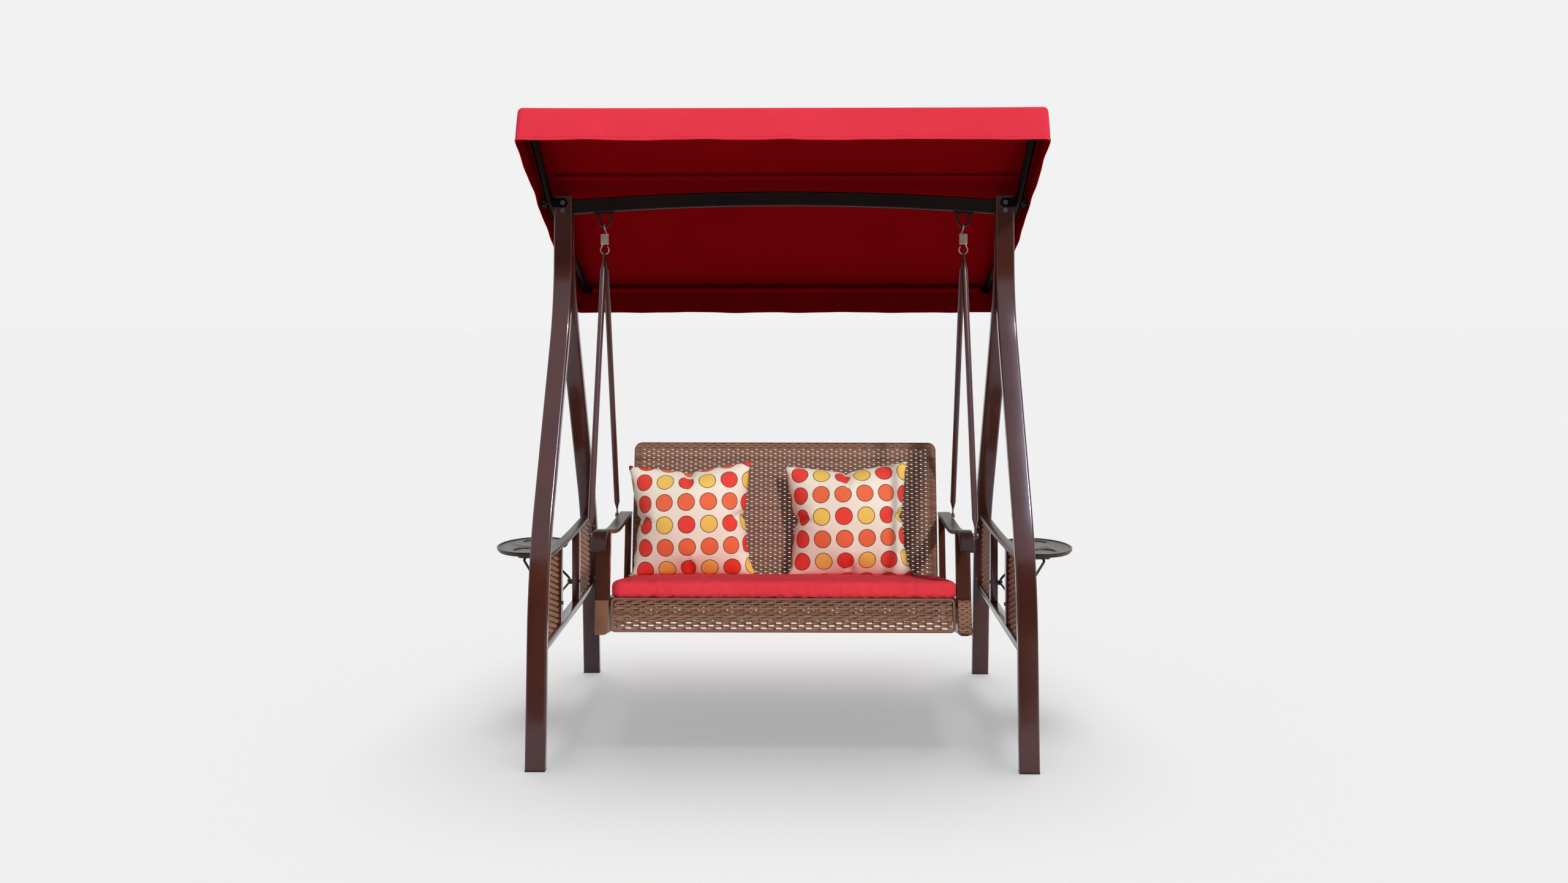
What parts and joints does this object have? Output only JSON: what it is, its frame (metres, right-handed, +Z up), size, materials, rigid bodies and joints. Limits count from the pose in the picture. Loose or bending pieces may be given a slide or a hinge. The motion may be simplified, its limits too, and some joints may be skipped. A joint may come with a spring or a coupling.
{
  "type": "canopy swing chair",
  "caption": "Outdoor swing chair for two: wicker seat hung on springs in a bent-tube A-frame, with a tilting cloth canopy and folding side trays.",
  "frame": {"origin": "on the floor, in the middle of the object's outline", "axes": "+X to the side of the pillow_right node, +Y from front to rear, +Z up"},
  "size_m": [1.902, 1.2144, 1.9442],
  "materials": {
    "brown_paint": "gloss powder coat",
    "spring_steel": "bright zinc",
    "bolt_steel": "bright zinc",
    "black_plastic": "satin",
    "foot_rubber": "matt",
    "tray_plastic": "satin",
    "woven_wicker": "flat woven strand",
    "webbing": "open weave",
    "red_cloth": "plain weave",
    "pillow_cloth": "plain weave with round dots"
  },
  "bodies": {
    "stand": {"front_leg_right": "brown_paint", "front_leg_left": "brown_paint", "rear_leg_right": "brown_paint", "rear_leg_left": "brown_paint", "top_rail_right": "brown_paint", "top_rail_left": "brown_paint", "lower_rail_right": "brown_paint", "lower_rail_left": "brown_paint", "side_slats_right": "brown_paint", "side_slats_left": "brown_paint", "side_wicker_front_right": "woven_wicker", "side_wicker_front_left": "woven_wicker", "side_wicker_rear_right": "woven_wicker", "side_wicker_rear_left": "woven_wicker", "hanger_loop_right": "brown_paint", "hanger_loop_left": "brown_paint", "canopy_bracket_right": "brown_paint", "canopy_bracket_left": "brown_paint", "foot_caps": "foot_rubber", "leg_top_caps": "black_plastic", "crossbeam": "brown_paint", "apex_bolts": "bolt_steel", "panel_bolts": "bolt_steel", "tray_hinge_lugs": "brown_paint", "tray_hinge_pins": "bolt_steel", "tray_stay_clips": "black_plastic", "canopy_pivot_bolts": "bolt_steel"},
    "tray_right": {"tray_right": "tray_plastic"},
    "tray_left": {"tray_left": "tray_plastic"},
    "stay_right": {"tray_stay_right": "brown_paint"},
    "stay_left": {"tray_stay_left": "brown_paint"},
    "canopy": {"canopy_arm_right": "brown_paint", "canopy_arm_left": "brown_paint", "canopy_front_bar": "brown_paint", "canopy_rear_bar": "brown_paint", "canopy_cover": "red_cloth"},
    "knob_right": {"canopy_knob_right": "black_plastic"},
    "knob_left": {"canopy_knob_left": "black_plastic"},
    "swing": {"spring_right": "spring_steel", "spring_left": "spring_steel"},
    "seat": {"hanging_rod_front_right": "brown_paint", "hanging_rod_front_left": "brown_paint", "hanging_rod_rear_right": "brown_paint", "hanging_rod_rear_left": "brown_paint", "armrest_right": "brown_paint", "armrest_left": "brown_paint", "side_box_right": "woven_wicker", "side_box_left": "woven_wicker", "rod_bolts": "bolt_steel", "front_posts": "brown_paint", "rear_posts": "brown_paint", "seat_frame": "brown_paint", "front_apron": "woven_wicker", "back_frame": "brown_paint", "back_wicker": "woven_wicker", "seat_webbing": "webbing", "seat_cushion": "red_cloth", "pillow_left": "pillow_cloth", "pillow_right": "pillow_cloth", "side_straps": "brown_paint"}
  },
  "joints": [
    {"name": "seat_swing", "type": "hinge", "parent": "stand", "child": "swing", "pos_m": [0, -0.12322, 1.621], "axis": [1, 0, 0], "range_deg": [-20, 20]},
    {"name": "seat_bounce", "type": "slide", "parent": "swing", "child": "seat", "axis": [0, 0, 1], "range_m": [-0.03, 0], "stiffness_N_per_m": 25000, "springref_m": 0.022, "deforming": ["spring_right", "spring_left"]},
    {"name": "canopy_tilt", "type": "hinge", "parent": "stand", "child": "canopy", "pos_m": [0, -0.12322, 1.697], "axis": [1, 0, 0], "range_deg": [-10, 38]},
    {"name": "tray_fold_right", "type": "hinge", "parent": "stand", "child": "tray_right", "pos_m": [0.748, -0.07022, 0.548], "axis": [0, 1, 0], "range_deg": [0, 90]},
    {"name": "stay_fold_right", "type": "hinge", "parent": "stand", "child": "stay_right", "pos_m": [0.741, -0.07022, 0.41], "axis": [0, 1, 0], "range_deg": [0, 142.1]},
    {"name": "knob_turn_right", "type": "hinge", "parent": "stand", "child": "knob_right", "pos_m": [0.7875, -0.12322, 1.697], "axis": [1, 0, 0], "continuous": true},
    {"name": "tray_fold_left", "type": "hinge", "parent": "stand", "child": "tray_left", "pos_m": [-0.748, -0.07022, 0.548], "axis": [0, -1, 0], "range_deg": [0, 90]},
    {"name": "stay_fold_left", "type": "hinge", "parent": "stand", "child": "stay_left", "pos_m": [-0.741, -0.07022, 0.41], "axis": [0, -1, 0], "range_deg": [0, 142.1]},
    {"name": "knob_turn_left", "type": "hinge", "parent": "stand", "child": "knob_left", "pos_m": [-0.7875, -0.12322, 1.697], "axis": [-1, 0, 0], "continuous": true}
  ],
  "couplings": [
    {"joint": "stay_fold_right", "follows": "tray_fold_right", "ratio": 1.5777},
    {"joint": "stay_fold_left", "follows": "tray_fold_left", "ratio": 1.5777}
  ]
}
